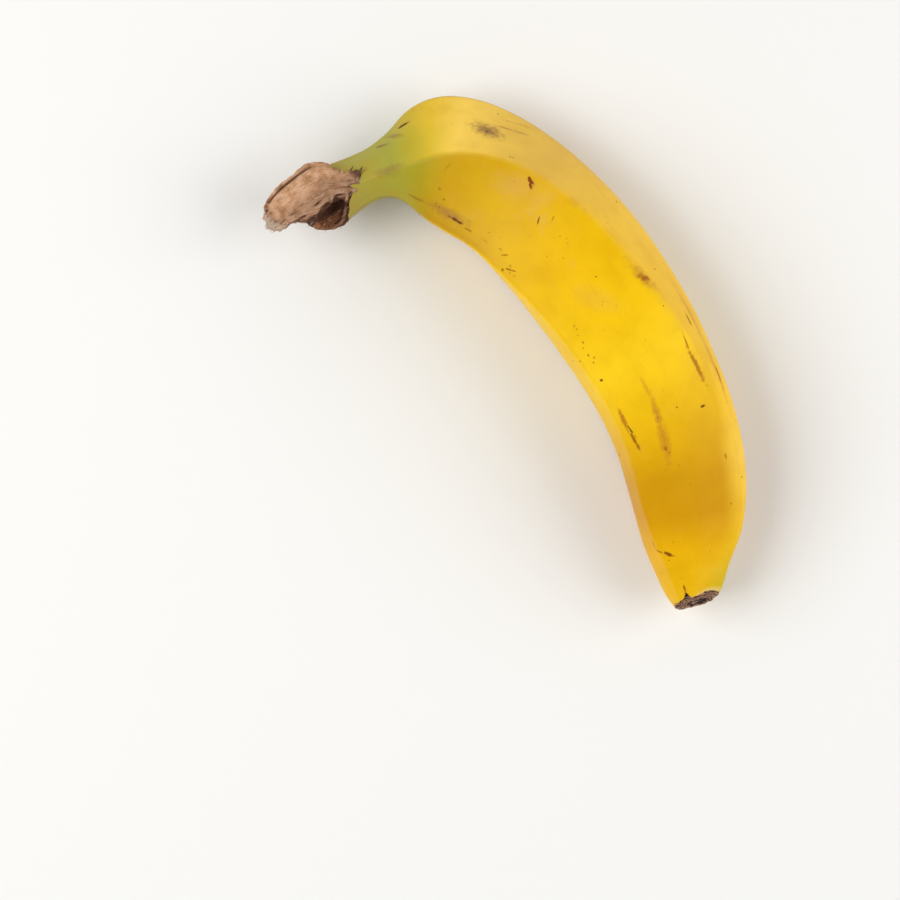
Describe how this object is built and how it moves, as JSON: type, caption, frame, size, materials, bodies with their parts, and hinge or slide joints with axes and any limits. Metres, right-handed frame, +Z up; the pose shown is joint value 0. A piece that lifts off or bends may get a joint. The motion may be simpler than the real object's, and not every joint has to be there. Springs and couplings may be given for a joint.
{
  "type": "cavendish banana",
  "caption": "Curved ripe banana lying on its side, with soft lengthwise ridges, a slim neck, a torn dry scrap of crown and a stubby blossom end.",
  "frame": {"origin": "on the surface that the fruit lies on, under the middle of its box in plan", "axes": "+X from the stalk to the blossom end, +Y towards the outer side of the bend, +Z up from the surface that it lies on"},
  "size_m": [0.179, 0.0809, 0.0399],
  "materials": {
    "peel": "ripe yellow banana peel, waxy and between satin and gloss, green at the neck, with brown freckles, scuffs and scars",
    "dry_crown": "dried crown tissue, matt, tan with grey fibres and dark edges",
    "blossom_scar": "dried flower base, matt, dark brown with greyish rings"
  },
  "bodies": {
    "root": {"banana": "peel"}
  },
  "joints": []
}
